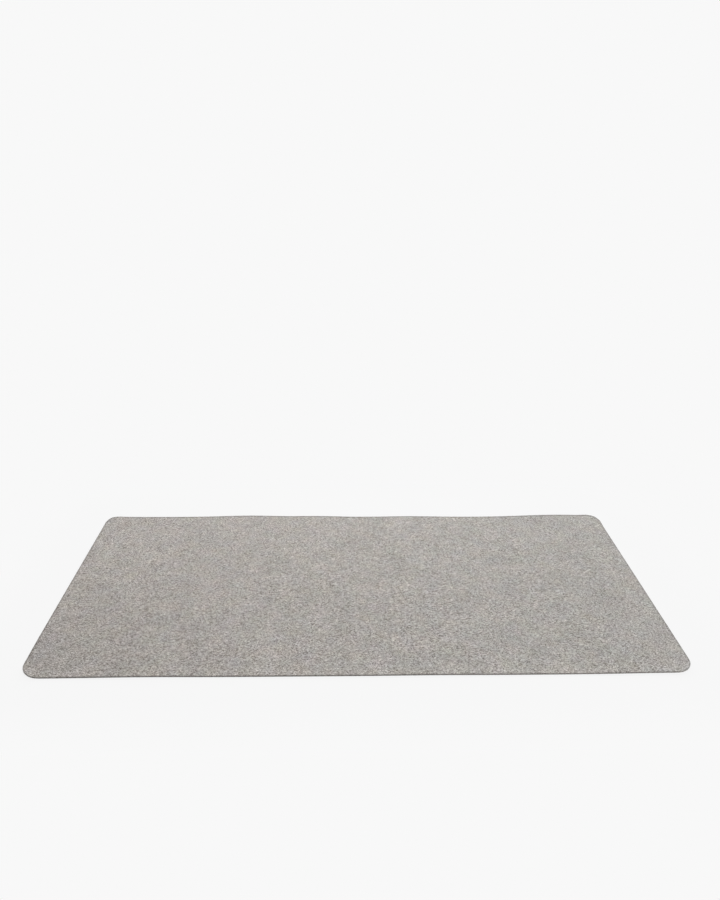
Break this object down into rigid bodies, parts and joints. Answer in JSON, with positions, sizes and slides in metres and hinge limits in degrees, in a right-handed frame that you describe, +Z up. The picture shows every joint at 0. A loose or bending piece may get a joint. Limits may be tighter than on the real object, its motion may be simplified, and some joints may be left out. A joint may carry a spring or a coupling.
{
  "type": "desk mat",
  "caption": "Flat rectangular desk mat with rounded corners: a mottled grey wool felt sheet laminated to an anti-slip rubber base, laid on a desk under a keyboard and mouse.",
  "frame": {"origin": "on the desk surface, under the middle of the mat", "axes": "+X along the mat's length, left to right; +Y from its front edge to its back edge; +Z up, out of the felt face"},
  "size_m": [0.9, 0.4, 0.003],
  "materials": {
    "wool_felt": "pressed mottled wool felt, light grey with darker and paler fibres",
    "hot_melt_film": "milky hot-melt adhesive film",
    "grip_rubber": "matt charcoal rubber with a fine grip texture underneath"
  },
  "bodies": {
    "root": {"felt_sheet": "wool_felt", "bonding_film": "hot_melt_film", "grip_base": "grip_rubber"}
  },
  "joints": []
}
